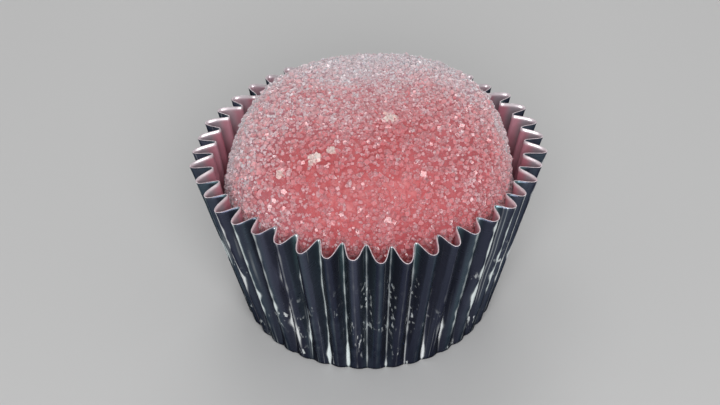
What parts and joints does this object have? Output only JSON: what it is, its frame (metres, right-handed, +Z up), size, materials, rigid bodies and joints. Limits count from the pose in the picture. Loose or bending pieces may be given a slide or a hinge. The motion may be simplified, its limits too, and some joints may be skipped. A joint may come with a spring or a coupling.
{
  "type": "brigadeiro",
  "caption": "Squat ball of pink strawberry fudge rolled in sugar crystals, sitting in a flared, pleated foil sweet case with a saw-toothed rim.",
  "frame": {"origin": "middle of the case's flat base, on the surface that the case stands on", "axes": "+Z up through the sweet, -Y towards the viewer, +X to the viewer's right"},
  "size_m": [0.0389, 0.0384, 0.0273],
  "materials": {
    "sugared_fudge": "moist pink fudge under a crust of granulated sugar",
    "foil": "mirror-bright pressed foil"
  },
  "bodies": {
    "root": {"brigadeiro": "sugared_fudge", "foil_case": "foil"}
  },
  "joints": []
}
